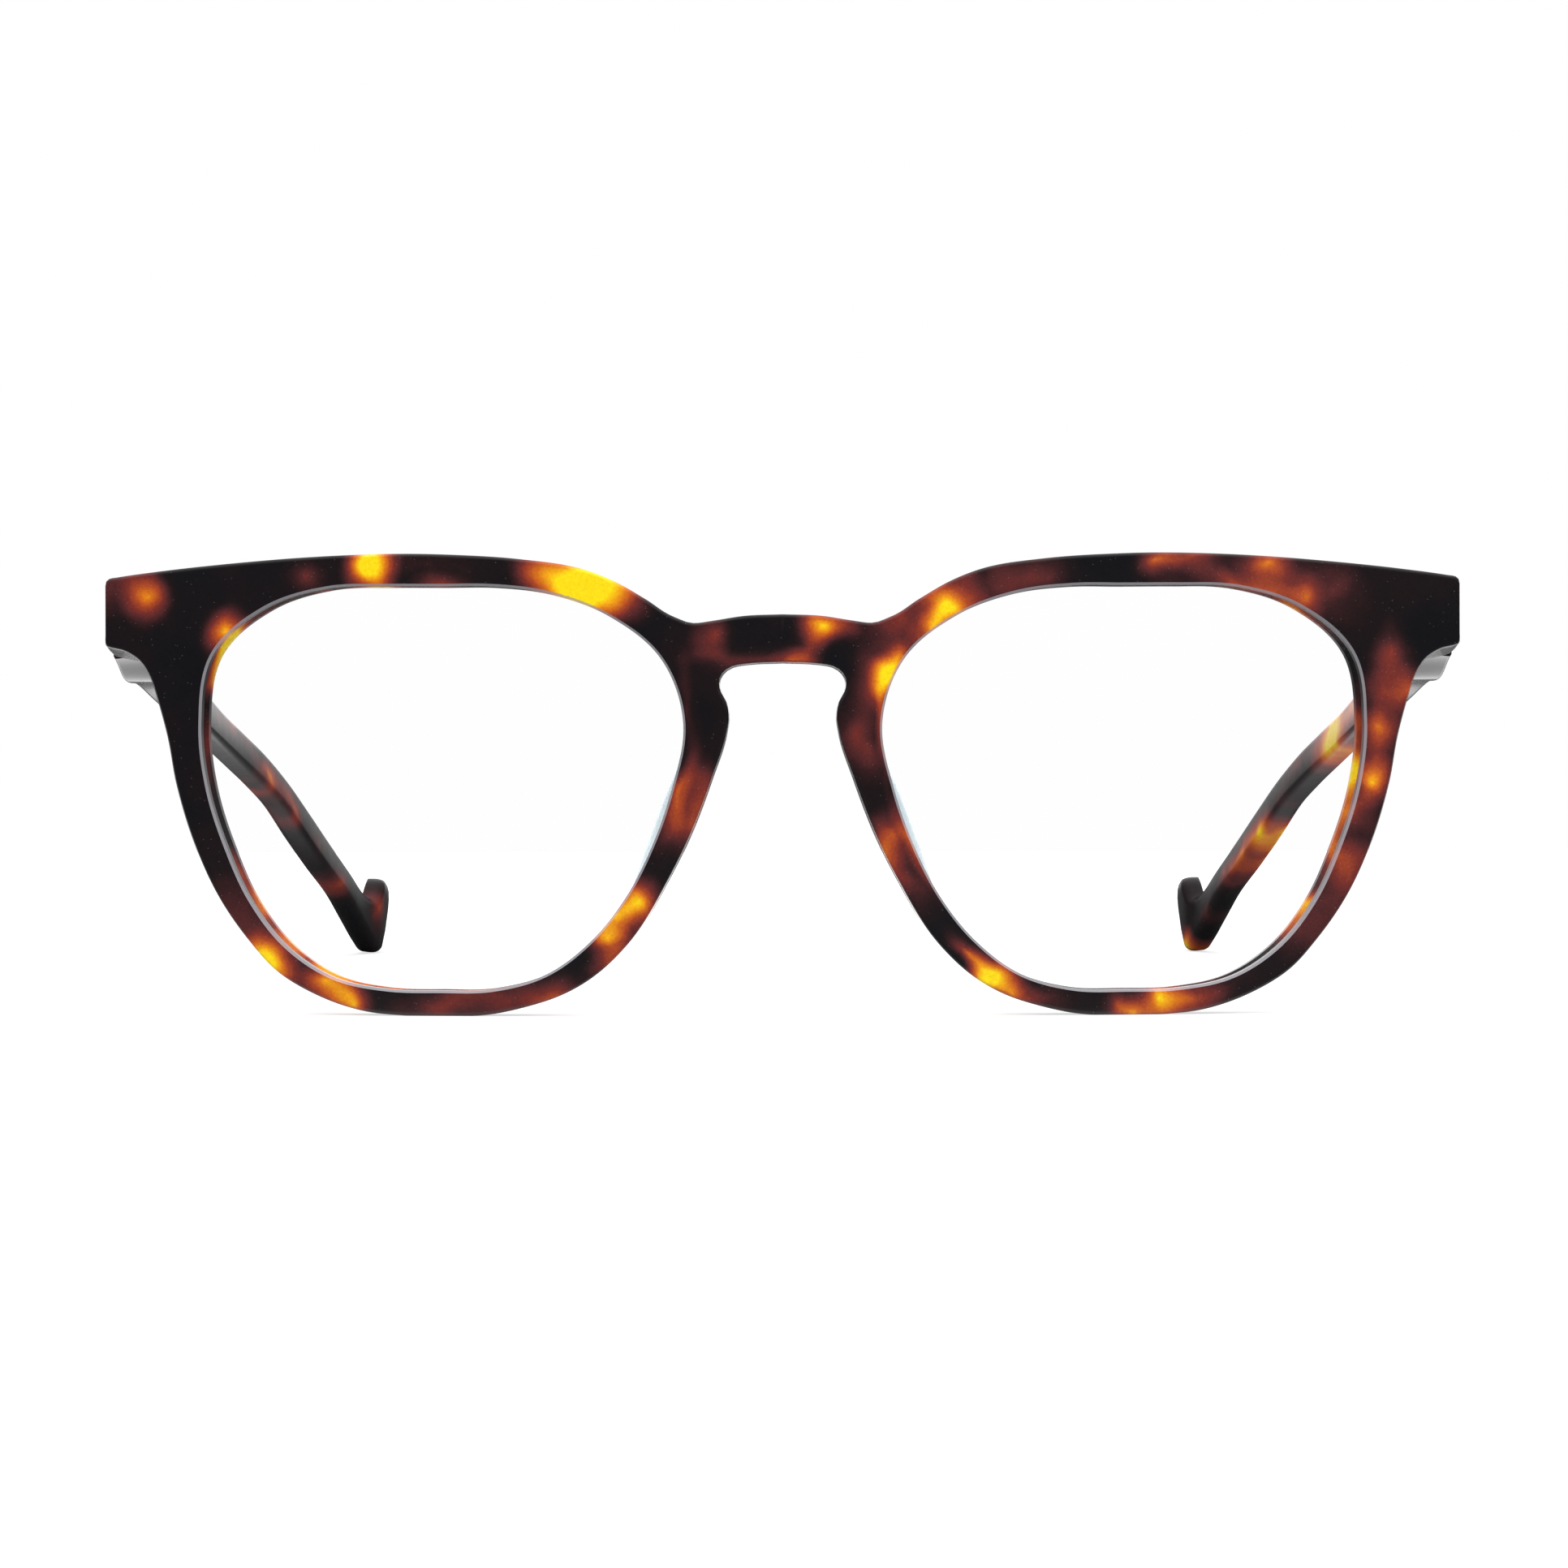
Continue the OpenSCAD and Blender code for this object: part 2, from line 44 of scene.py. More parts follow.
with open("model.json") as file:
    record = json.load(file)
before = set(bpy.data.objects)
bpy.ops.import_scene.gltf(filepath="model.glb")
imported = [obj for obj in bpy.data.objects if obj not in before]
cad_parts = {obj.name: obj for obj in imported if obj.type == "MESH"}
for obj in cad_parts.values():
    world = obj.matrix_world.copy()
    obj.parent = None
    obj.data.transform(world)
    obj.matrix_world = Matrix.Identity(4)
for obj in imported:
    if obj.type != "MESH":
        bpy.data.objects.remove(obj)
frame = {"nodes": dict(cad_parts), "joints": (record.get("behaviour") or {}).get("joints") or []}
cad_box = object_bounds()

# Driving sizes of the part
FRONT_T = 3.8  # thickness of the front
WRAP_R = 400.0  # radius that the front is bent to
EDGE_R = 0.35  # rounding of the front's outer edges
CHAMFER = 0.25  # chamfer round the lens openings
END_GROW = 0.9  # growth of the end pieces from the face to the back
GROW_FROM = 68.5  # where across the front that growth begins
GROW_TO = 71.0  # where across the front it is whole
LENS_T = 1.8  # thickness of a lens
BEVEL_H = 0.7  # height of the bevel on the lens edge
LENS_DOME = 0.9  # rise of the lens middle in front of its edge
LENS_GAP = 0.08  # gap between the lens and its groove
TEMPLE_T = 4.0  # thickness of a temple at the hinge
TEMPLE_R = 0.4  # rounding of a temple's long edges at the hinge
TIP_R = 1.5  # rounding of a temple's long edges at the tip
JOINT_GAP = 0.12  # gap between a temple's end and the front
PLATE_GAP = 0.03  # gap round a hinge plate in its pocket
PAD_H = 5.8  # height of a nose pad behind the front
PAD_LEAN = 0.46  # lean of the pads away from the nose, across per unit of height
PAD_ROUND = 1.5  # how round the pads lean: 1 would be straight
PAD_GLUE = 0.05  # glue line under a pad

# Lens shape: radius from the lens middle every 15 degrees, from the temple side upwards
LENS_MID = np.array([36.4, 24.1])
LENS_RADII = np.array([
    25.2, 26.9, 28.5, 27.0, 24.5, 22.2, 21.4, 22.1, 23.7, 25.6, 27.2, 26.8,
    24.7, 23.4, 22.9, 22.8, 22.7, 22.0, 21.4, 22.0, 23.1, 23.6, 23.7, 24.0])

# Outer edge of half the front: across, up, direction of the lens edge point that faces it
RIM_ROWS = np.array([
    [0, 42.4, 149], [4, 42.25, 148], [7.3, 41.75, 146.5], [9.4, 41.5, 145],
    [11.3, 42.1, 142.5], [14.4, 44, 136], [17.5, 45.8, 129], [21, 47.2, 121],
    [28, 48.35, 107], [35.2, 48.85, 93], [44.4, 48.95, 73], [56.4, 48.35, 54],
    [66, 47.5, 44], [71.9, 46.79, 37], [72.7, 46.66, 35.6], [73.04, 46.38, 34.8],
    [73.15, 45.9, 34.1], [73.15, 45.2, 33.4], [73.15, 40.6, 30.6], [73.15, 39.75, 30],
    [73.08, 39.48, 29.7], [72.88, 39.3, 29.4], [72.4, 39.17, 28.7], [71.2, 38.92, 27.5],
    [70.2, 38.45, 26], [69.5, 37.98, 24.5], [68.9, 37.35, 22.8], [68.3, 36.4, 21],
    [67.9, 35.55, 19.6], [67.45, 34.2, 17.8], [67.1, 33.05, 16.3],
    [66.3, 30.2, 12], [65.2, 24.6, 1], [63.5, 19, -10.5], [61, 13.4, -22.5],
    [57.1, 7.8, -37.5], [53.9, 4.5, -48.5], [49.2, 1.9, -60], [45, 0.55, -70],
    [40, 0, -82], [35, -0.1, -93], [30.5, 0.25, -103], [27.5, 0.9, -109.5],
    [23.5, 2.2, -118.5], [19.6, 4.5, -129], [16.4, 7.6, -138.5], [12, 14.6, -156],
    [10, 18.6, -165.5], [7.5, 25, -180], [5.9, 30, -191.5], [5.7, 32, -196],
    [5.95, 33.2, -198], [6.5, 34.2, -199.7], [6.7, 35.1, -201.5], [6.35, 36.1, -204],
    [5.3, 36.85, -206.5], [3.3, 37.17, -208.5], [0, 37.3, -210]])

# Temple: depth and height of its top edge, of its bottom edge, inset of its outer face, thickness
TEMPLE_ROWS = np.array([
    [8, 46.3, 7.6, 39.5, -0.2, 4], [14, 45.4, 13.2, 37.9, -0.1, 4],
    [18.2, 44.6, 17, 36.1, 0, 4], [24, 43, 22.7, 35.8, 0.1, 3.8],
    [33, 39.9, 32, 34.1, 0.5, 3.4], [45, 36.4, 44, 31.9, 0.9, 3.2],
    [58, 33.5, 57, 29.5, 1.4, 3.1], [72, 31, 71, 26.8, 2, 3.1],
    [86, 28.1, 84, 24, 2.8, 3.2], [97, 24.9, 94, 21.2, 3.7, 3.3],
    [107, 20.9, 103, 17.2, 4.9, 3.4], [118, 16.1, 113, 12.8, 6.4, 3.5],
    [127, 12, 123, 8.4, 8, 3.5], [132.5, 9.4, 130, 4.6, 9, 3.5],
    [135.3, 8.2, 135, 1.6, 9.9, 3.5], [136.1, 8, 137.6, 0.2, 10.4, 3.5],
    [136.6, 8.2, 140, 0, 10.8, 3.4], [137.1, 8.7, 142.4, 2.2, 11.1, 3.3],
    [137.7, 9.3, 144.6, 5.6, 11.4, 3.2], [138.7, 10.1, 145.4, 8.4, 11.6, 3],
    [140.4, 10.6, 144.8, 10, 11.7, 2.4], [141.8, 10.75, 143.6, 10.6, 11.7, 1.4]])

# Nose pad: height on the front, middle of the base, half its width, share of the pad height
PAD_ROWS = np.array([
    [10.6, 16.2, 0.5, 0.05], [11.4, 15.7, 0.9, 0.28], [13.2, 14.7, 1.15, 0.55],
    [16, 13.2, 1.3, 0.83], [19.5, 11.6, 1.4, 0.98], [23, 10.3, 1.4, 0.98],
    [26.5, 9.2, 1.4, 0.78], [29, 8.7, 1.25, 0.48], [30.6, 8.5, 0.9, 0.24],
    [31.4, 8.4, 0.5, 0.05]])

# Where the front and the temples stand: the temples are drawn behind a front of depth DRAWN_BACK
DRAWN_BACK = 10.4
END_TURN = RIM_ROWS[:, 0].max() / WRAP_R
END_X = WRAP_R * math.sin(END_TURN)
TEMPLE_LATE = WRAP_R - (WRAP_R - FRONT_T) * math.cos(END_TURN) - DRAWN_BACK
FRONT_Y = -(TEMPLE_ROWS[:, 2].max() + TEMPLE_LATE) / 2
TEMPLE_Y = FRONT_Y + TEMPLE_LATE
TEMPLE_INNER_X = END_X - TEMPLE_ROWS[0, 4] - TEMPLE_T

# Hinge: its pivot, and the plates let into the acetate
PIVOT = np.array(next(j for j in frame["joints"] if j["name"] == "fold_left")["pos_m"]) / MM
KNUCKLE_D = 2.6  # diameter of a knuckle
KNUCKLE_AIR = 0.25  # clear space between a knuckle and the acetate
HINGE_X = TEMPLE_INNER_X - KNUCKLE_D / 2 - KNUCKLE_AIR
HINGE_DEPTH = FRONT_T + KNUCKLE_D / 2 + KNUCKLE_AIR
PLATE_W = 3.0  # width of the front's plate
PLATE_T = 0.8  # thickness of both plates
PLATE_H = 5.69  # height of the front's plate
LEAF_L = 8.0  # length of the temple's plate
LEAF_H = 4.2  # height of the temple's plate
LEAF_TILT = -10.0  # slope of the temple's plate in degrees
PLATE_LEAD = 0.7  # how far the temple's plate starts in front of the pivot

# Cutters: how far a pocket's goes past the surface, and half width and half height of the temple's
POCKET_OPEN = 1.0
TRIM_SIDE = 12.0
TRIM_HIGH = 15.0

# Fineness of the meshes: steps in millimetres and degrees, points on round edges, shares of a width
RIM_STEP = 0.7
TEMPLE_STEP = 0.9
PAD_STEP = 0.4
LENS_STEP = 2.5
EDGE_POINTS = 6
CORNER_POINTS = 7
PAD_POINTS = 19
CORNER_LIMIT = 0.45
FACE_SHARES = (0.03, 0.25, 0.5, 0.75, 0.97)
LENS_SHARES = (0.12, 0.3, 0.5, 0.68, 0.82, 0.92, 0.97)
WELD = 1e-7
SLIVER = 1e-8

# Degrees between two faces from which their edge is shaded sharp
SHARP = 35
FRONT_SHARP = 30
LENS_SHARP = 30
TEMPLE_SHARP = 40
PAD_SHARP = 50

# Patches of colour on the front: across, up, half width, half height, clockwise tilt, warmth
FRONT_PATCHES = [
    # End piece and brow at the wearer's right
    (-68.3, 44.5, 3.3, 4, 0, 0.78), (-70.8, 46.6, 7.6, 4.4, -20, 0.36),
    (-59.2, 40.4, 3.3, 3.9, 20, 1), (-50.3, 46.8, 3.4, 3.5, 0, 0.4),
    (-43.5, 47.9, 3.5, 4.4, 0, 1.5), (-36.1, 45.6, 4.4, 1.5, 0, 0.48),
    (-37.4, 47.3, 8.8, 4.2, 0, 0.26), (-21.4, 45.5, 8.8, 5.2, 17, 1.9),
    # Right rim beside the nose
    (-7.5, 40.7, 2.6, 3.8, 0, 0.42), (-7, 38.3, 6, 6.3, 0, 0.2), (-10, 31.9, 1.5, 7.5, -2, 0.3),
    (-10.9, 24, 1.3, 6.5, 14, 0.36), (-9.2, 24.8, 3.2, 3.8, 0, 0.28),
    (-8.4, 21.2, 2.1, 5.4, 20, 0.3), (-10.1, 20.7, 5, 6.3, 20, 0.39),
    # Bottom and outer side of the right rim
    (-15.4, 12.4, 3.6, 3.8, 20, 0.92), (-17.5, 10.5, 1.8, 4.1, 40, 0.7),
    (-18.7, 8.1, 2.8, 3.1, 30, 0.78), (-18.3, 5.5, 4, 1.8, -35, 0.53),
    (-16.3, 8.8, 3.8, 3.8, 0, 0.33), (-23.6, 2.1, 4.4, 2.6, -15, 0.57),
    (-28.8, 2, 10, 4.2, 0, 0.34), (-36.6, 1.2, 8.8, 3.5, 0, 0.39), (-48.4, 3.3, 3.5, 2.3, 15, 0.75),
    (-46, 1.3, 3.5, 3.2, 45, 0.95), (-55.1, 5.7, 4.6, 3.8, 38, 1.2),
    (-58.3, 10.3, 5.6, 8.9, -20, 0.34), (-51.8, 4.3, 7.6, 5.1, 30, 0.29),
    # Bridge, and the left rim where the bridge joins it
    (4.3, 41.3, 4.1, 2.9, 5, 1.1), (2.6, 38.9, 2.6, 3.5, 35, 0.48),
    (0.8, 37.5, 4.6, 1.6, -10, 0.44), (-3.1, 37.7, 8.8, 1.8, 0, 0.29),
    (12.7, 41.7, 7.5, 6.3, -30, 0.42), (11.2, 36.8, 2.2, 3.7, 28, 0.95),
    (10.1, 34.8, 4.2, 5.6, 20, 0.55), (10.8, 30.6, 1.1, 7.3, 0, 0.53),
    # Brow and end piece at the wearer's left
    (17.8, 43.7, 4.4, 4.6, 40, 1.1), (15.6, 41.3, 4.1, 1.8, -42, 0.6),
    (23, 45.4, 8.8, 4.2, -15, 0.28), (27.8, 46.3, 6.3, 2.5, 0, 0.2),
    (40.1, 48.5, 3.5, 2.1, 0, 0.58), (43.5, 48.2, 4.6, 2.1, 0, 0.35),
    (42.1, 46.9, 10, 3.8, 0, 0.18), (51.1, 48.3, 3.6, 2.6, 0, 0.6), (49.9, 45.5, 7.6, 1.8, 8, 0.47),
    (52.6, 46.4, 6.3, 4.2, 0, 0.3), (55.5, 44.5, 2.7, 3.4, -25, 0.36),
    (58.5, 45.1, 5.6, 5.9, 0, 0.32),
    # Outer side of the left rim
    (64.7, 34.4, 4.6, 6.6, 0, 0.42), (65, 38.9, 3.1, 4.2, 0, 0.39),
    (67, 34.6, 2.1, 4.3, 10, 0.44), (63.5, 30.2, 3.2, 2.9, 0, 0.42),
    (62.6, 24.8, 3.3, 3.6, 0, 0.85), (61.1, 21.4, 3.4, 2.9, 0, 0.5), (62.9, 27.6, 3.2, 5.2, 0, 0.3),
    (60.2, 14.2, 5.6, 10, 20, 0.39), (59.2, 16.4, 3.8, 3.8, 0, 0.33),
    # Bottom of the left rim
    (54.8, 8.6, 5.1, 7.6, 35, 0.29), (46, 2.2, 8.8, 4.2, -15, 0.34), (40.1, 1.6, 4, 3.5, 0, 1),
    (36.9, 0.5, 2.7, 2.1, 0, 0.75), (35.2, 1.3, 2.9, 2.7, 0, 0.44),
    (43.4, 1.6, 4.6, 2.7, -10, 0.44), (22.4, 4.6, 4.1, 3.2, 25, 1.1),
    (20.7, 3.4, 3.3, 2.1, 25, 0.9), (19.7, 6.7, 5.2, 1.5, 45, 0.66), (24.2, 2.4, 4, 2.3, 20, 0.57),
    (27.8, 1.9, 6.3, 3.8, 0, 0.39),
    # Left rim beside the nose
    (11.6, 18.9, 2.9, 3.8, -25, 0.5), (13.8, 18, 1.3, 7.7, -26, 0.5), (10.8, 16.5, 2.1, 5.6, -26, 0.53),
    (13.2, 14.3, 5, 6.3, -26, 0.36), (9.1, 28, 4.2, 4, 0, 0.3), (7.2, 29.7, 3.1, 4.2, 0, 0.33),
    # Broad dim patches under the others
    (47, 47, 14, 5, 0, 0.12), (57, 43.5, 7, 5.5, 35, 0.12), (63.8, 31, 4.5, 11, 3, 0.12),
    (22, 44, 9, 5, 30, 0.05), (-20, 44, 9, 5, -30, 0.14), (-12, 20, 4, 12, 20, 0.12)]

# The same for patches that show only on the walls of the lens openings, behind the front's face
WALL_PATCHES = [
    (-60, 38.4, 2.1, 6.8, 28, 1.1), (-60.8, 35.9, 1.4, 2.1, 10, 0.65),
    (-54.9, 43.7, 7.6, 0.88, -28, 0.57), (-62.1, 27.6, 1.6, 11, -2, 0.55),
    (-59.1, 15.8, 1.8, 3.3, -25, 0.98), (-56.4, 10.9, 1.8, 2.9, -32, 0.98),
    (-57.7, 13.3, 1.8, 2.9, -30, 0.65), (-52.2, 7.2, 1.8, 5.7, -45, 0.75),
    (-44.7, 3.7, 12, 0.99, 12, 0.72), (-35.1, 2.9, 14, 0.77, 2, 0.68),
    (-43.8, 45.6, 9.2, 0.77, -3, 0.8), (55.1, 43.1, 9.2, 0.99, 34, 0.7),
    (59.4, 36.3, 1.6, 4.8, -15, 0.55), (61.2, 31.1, 1.6, 5.7, -3, 0.6), (61, 25.2, 1.8, 5, 5, 1),
    (59.6, 18.9, 1.8, 5.7, 22, 0.7), (56.2, 11.3, 1.8, 3.1, 36, 1), (54.2, 8.9, 1.8, 2.9, 40, 0.6)]

# Patches of colour on a temple: back, up, half length, half height, slope, warmth
TEMPLE_PATCHES = {
    "left": [
        (-61, 43, 7, 4.5, 10, 0.8), (-49, 39.5, 10, 4, 15, 1.3), (-36, 38, 8, 3, 15, 0.55),
        (-25, 34, 9, 3, 12, 0.9), (-14, 35, 6, 2.5, 12, 0.5), (-9, 30.3, 17, 6, 14, 1.45),
        (12, 27, 9, 3, 14, 0.35), (22, 23, 7, 3, 20, 0.3), (31, 18.2, 9, 4, 12, 1.2),
        (38.5, 14.8, 8, 3.6, 12, 0.75), (43, 12.5, 7, 3, 15, 0.5), (48.3, 11.5, 6, 2.6, 20, 0.45),
        (56, 6.5, 6, 3, 30, 0.35), (66.3, 1, 6, 3.4, 0, 1.2)],
    "right": [
        (-60, 41.5, 7, 4, 10, 0.55), (-51, 41, 8, 4, 12, 1.05), (-40, 37, 7, 3, 15, 0.5),
        (-29, 36.5, 9, 3, 13, 0.9), (-19, 33, 7, 2.6, 13, 0.45), (-9.5, 32, 9, 3, 14, 0.55),
        (0, 30.5, 7, 3, 14, 0.4), (12, 25.6, 13, 3, 14, 0.85), (24.5, 21.8, 8, 3, 18, 0.7),
        (36, 17, 7, 2.5, 22, 0.3), (47, 10.5, 8, 3, 22, 0.5), (64, 6.5, 5, 4.5, 0, 0.5)]}

# How a patch goes through the part: half length, depth and half depth of the wall's, falloff
THROUGH = 5000.0
FACE_DEPTH = 2.0
WALL_DEPTH = 3.4
WALL_REACH = 2.9
PATCH_FALL = 1.3

# Colours of the acetate from cold to warm, as share of the hottest warmth and linear red, green, blue. The
# faint blue of the coldest is painted sheen on the near-black ground
ACETATE_COLOURS = [
    (0.00, (0.0040, 0.0040, 0.0060)), (0.12, (0.010, 0.005, 0.006)),
    (0.21, (0.030, 0.0085, 0.0100)), (0.31, (0.080, 0.016, 0.017)),
    (0.43, (0.17, 0.023, 0.017)), (0.57, (0.37, 0.055, 0.014)),
    (0.71, (0.63, 0.15, 0.007)), (0.85, (0.84, 0.36, 0.004)), (1.00, (0.96, 0.68, 0.004))]
HOTTEST = 1.15

# Swirl that pushes the patches out of shape: feature size, detail and push
SWIRL_SIZE = 6.0
SWIRL_DETAIL = 1.5
SWIRL = 3.0

# Unevenness: feature size in millimetres, detail, lowest value, spread
MOTTLE = (10.0, 3, -0.231, 0.55)
GRAIN = (0.2, 1, -0.04, 0.08)
TONE = (0.3, 2, 0.75, 0.5)
ACETATE_ROUGHNESS = (1.5, 3, 0.38, 0.12)
LENS_ROUGHNESS = (20.0, 2, 0.02, 0.02)
PAD_ROUGHNESS = (1.0, 2, 0.2, 0.1)

# Acetate surface: polish on the front and at the hinges, less of it towards the tips
GLOSS = 0.85
SATIN = 0.12
GLOSS_END = -40.0
SATIN_START = 8.0
COAT_ROUGHNESS = 0.16
ACETATE_IOR = 1.49
ACETATE_SPECULAR = 0.12
BUMP_SIZE = 0.2
BUMP_DEPTH = 0.01
ACETATE_BUMP = 0.04

# Dust specks, and the painted pale highlight on the chamfers round the lenses, both in one pale grey
DUST_AND_HIGHLIGHT = (0.50, 0.49, 0.53, 1)
SPECK_CELL = 0.6
SPECK_SIZE = 0.045
SPECK_SHARE = 0.16
CHAMFER_HIGHLIGHT = 0.5

# Lenses and nose pads
WHITE = (1.0, 1.0, 1.0, 1)
LENS_MIRROR_IOR = 1.22
PAD_COLOURS = ((0.68, 0.81, 0.87, 1), (0.80, 0.90, 0.94, 1))
PAD_TINT_SIZE = 3.0
PAD_CLEAR = 0.6
PAD_IOR = 1.48

# Metals: colour and roughness, and their fine turning marks
HINGE_METAL = ((0.62, 0.61, 0.59), 0.25)
SCREW_METAL = ((0.70, 0.70, 0.69), 0.15)
WIRE_METAL = ((0.62, 0.60, 0.57), 0.3)
MARK_SIZE = 0.5
MARK_STRETCH = (1.0, 1.0, 9.0)
MARK_PALER = 1.15
MARK_ROUGHNESS = 0.2
METAL_BUMP = 0.2

# Camera, in metres and degrees, with its sensor in millimetres and the photo in pixels
CAMERA_DISTANCE = 0.36
CAMERA_HEIGHT = 0.0245
CAMERA_ROLL = 0.11
CAMERA_NEAR = 0.01
SENSOR = 36.0
PHOTO_WIDTH = 1932
FOCAL_PIXELS = 4212
SHIFT_PIXELS = 1.4

# Floor, in metres: its grey, and how white it looks from the part outwards
FLOOR_HALF = 0.8
FLOOR_GREY = 0.45
FLOOR_GREY_MIRRORED = 0.09
FLOOR_NEAR = 0.1
FLOOR_FAR = 0.35
FLOOR_WHITE_NEAR = 0.62
FLOOR_WHITE_FAR = 0.98

# Bright strip of the floor that only reflections see: its middle, half width, soft edge, brightness
STRIP_MIDDLE = -0.015
STRIP_HALF = 0.04
STRIP_END = 0.065
STRIP_SHINE = 2.2

# Studio dome: brightness all round and overhead, and a bright backdrop behind the part
DOME_LOW = 0.02
DOME_TOP = 1.2
DOME_FALL = 1.2
BACKDROP = 1.4
BACKDROP_FROM = 0.86
BACKDROP_FULL = 0.96
HORIZON = 0.04

# Lamps: name, place and size in metres, power in watts
LAMPS = [
    ("key", (-0.25, -0.55, 0.55), 0.5, 2.8),
    ("fill", (0.35, -0.6, 0.3), 0.5, 2.0),
    ("top", (0.0, 0.1, 0.7), 0.6, 2.0)]


# Shapes
def smooth(rows, step):
    """Points on a smooth curve through rows, about step apart on the first two columns."""
    gaps = np.linalg.norm(np.diff(rows, axis=0), axis=1)[:, None]
    ways = np.diff(rows, axis=0) / gaps
    inner = (ways[1:] * gaps[:-1] + ways[:-1] * gaps[1:]) / (gaps[:-1] + gaps[1:])
    slopes = np.vstack([ways[:1], inner, ways[-1:]])
    points = []
    for p, q, a, b, h in zip(rows[:-1], rows[1:], slopes[:-1], slopes[1:], gaps):
        count = max(1, math.ceil(np.linalg.norm((q - p)[:2]) / step))
        for f in np.arange(count) / count:
            points.append(
                p * (2 * f**3 - 3 * f**2 + 1) + a * h * (f**3 - 2 * f**2 + f)
                + q * (3 * f**2 - 2 * f**3) + b * h * (f**3 - f**2))
    points.append(rows[-1])
    return np.array(points)


def lens_edge(degrees):
    """Points of the lens edge on the flat front."""
    count = len(LENS_RADII)
    t = np.mod(degrees, 360) / (360 / count)
    i = np.floor(t).astype(int)
    f = t - i
    p, q, r, s = (LENS_RADII[(i + k) % count] for k in (-1, 0, 1, 2))
    radius = q + 0.5 * f * (r - p + f * (2 * p - 5 * q + 4 * r - s + f * (3 * (q - r) + s - p)))
    turn = np.radians(degrees)
    return LENS_MID + radius[:, None] * np.stack([np.cos(turn), np.sin(turn)], 1)


def lens_out(degrees):
    """Unit steps out from the lens edge."""
    way = lens_edge(degrees + 0.5) - lens_edge(degrees - 0.5)
    return np.stack([way[:, 1], -way[:, 0]], 1) / np.linalg.norm(way, axis=1)[:, None]


def bend(flat, depth):
    """Points of the flat front, depth behind its face, on the cylinder that it is bent round."""
    turn = flat[..., 0] / WRAP_R
    radius = WRAP_R - depth
    across = radius * np.sin(turn)
    back = FRONT_Y + WRAP_R - radius * np.cos(turn)
    return np.stack([across, back, flat[..., 1]], -1)


def shade(item, angle):
    """Smooth shading, sharp past an angle in degrees."""
    mesh = item.data
    mesh.polygons.foreach_set("use_smooth", [True] * len(mesh.polygons))
    mesh.set_sharp_from_angle(angle=math.radians(angle))


def new_object(name, points, faces, angle=SHARP, slots=None):
    """A closed smooth-shaded mesh from points in millimetres, kept inside the part's box."""
    mesh = bpy.data.meshes.new(name)
    inside = np.clip(np.asarray(points) * MM, cad_box[0], cad_box[1])
    mesh.from_pydata([tuple(p) for p in inside], [], faces)
    if slots:
        mesh.polygons.foreach_set("material_index", slots)
    shape = bmesh.new()
    shape.from_mesh(mesh)
    bmesh.ops.remove_doubles(shape, verts=shape.verts, dist=WELD)
    bmesh.ops.dissolve_degenerate(shape, edges=shape.edges, dist=SLIVER)
    bmesh.ops.recalc_face_normals(shape, faces=shape.faces)
    shape.to_mesh(mesh)
    shape.free()
    item = bpy.data.objects.new(name, mesh)
    bpy.context.scene.collection.objects.link(item)
    shade(item, angle)
    return item


def grid_faces(rings, points):
    """Quads between neighbouring closed rings of equal point count."""
    return [
        (i * points + j, i * points + (j + 1) % points,
         (i + 1) * points + (j + 1) % points, (i + 1) * points + j)
        for i in range(rings - 1) for j in range(points)]


def loft(name, rings, angle):
    """A closed tube through rings, with a flat cap at each end."""
    count, points = rings.shape[:2]
    faces = grid_faces(count, points)
    faces.append(tuple(range(points))[::-1])
    faces.append(tuple((count - 1) * points + j for j in range(points)))
    return new_object(name, rings.reshape(-1, 3), faces, angle)


def cut(item, cutters, angle):
    """Takes the cutters out of item and deletes them."""
    for cutter in cutters:
        tool = item.modifiers.new("cut", "BOOLEAN")
        tool.solver = "EXACT"
        tool.object = cutter
    bpy.context.view_layer.update()
    graph = bpy.context.evaluated_depsgraph_get()
    mesh = bpy.data.meshes.new_from_object(item.evaluated_get(graph))
    item.modifiers.clear()
    item.data = mesh
    for cutter in cutters:
        bpy.data.objects.remove(cutter)
    shade(item, angle)


def block(low, high, place):
    """A box between two corners in millimetres, moved by a matrix."""
    corners = [
        (x, y, z) for x in (low[0], high[0]) for y in (low[1], high[1]) for z in (low[2], high[2])]
    faces = [(0, 1, 3, 2), (4, 6, 7, 5), (0, 4, 5, 1), (2, 3, 7, 6), (0, 2, 6, 4), (1, 5, 7, 3)]
    points = [place @ Vector(c) for c in corners]
    return new_object("block", points, faces)


def flip(item):
    """Mirrors a mesh to the wearer's right."""
    item.data.transform(Matrix.Scale(-1, 4, (1, 0, 0)))
    item.data.flip_normals()


def face_line(rim_edge, inward, opening, edge):
    """Points and depths over the face: the round outer edge, the flat and the chamfer at the lens."""
    flat_start = rim_edge + inward * EDGE_R
    line = []
    for turn in np.radians(np.linspace(0, 90, EDGE_POINTS)):
        line.append((rim_edge + inward * EDGE_R * (1 - math.cos(turn)), EDGE_R * (1 - math.sin(turn))))
    for share in FACE_SHARES:
        line.append((flat_start + (opening - flat_start) * share, 0))
    return line + [(opening, 0), (edge, CHAMFER)]


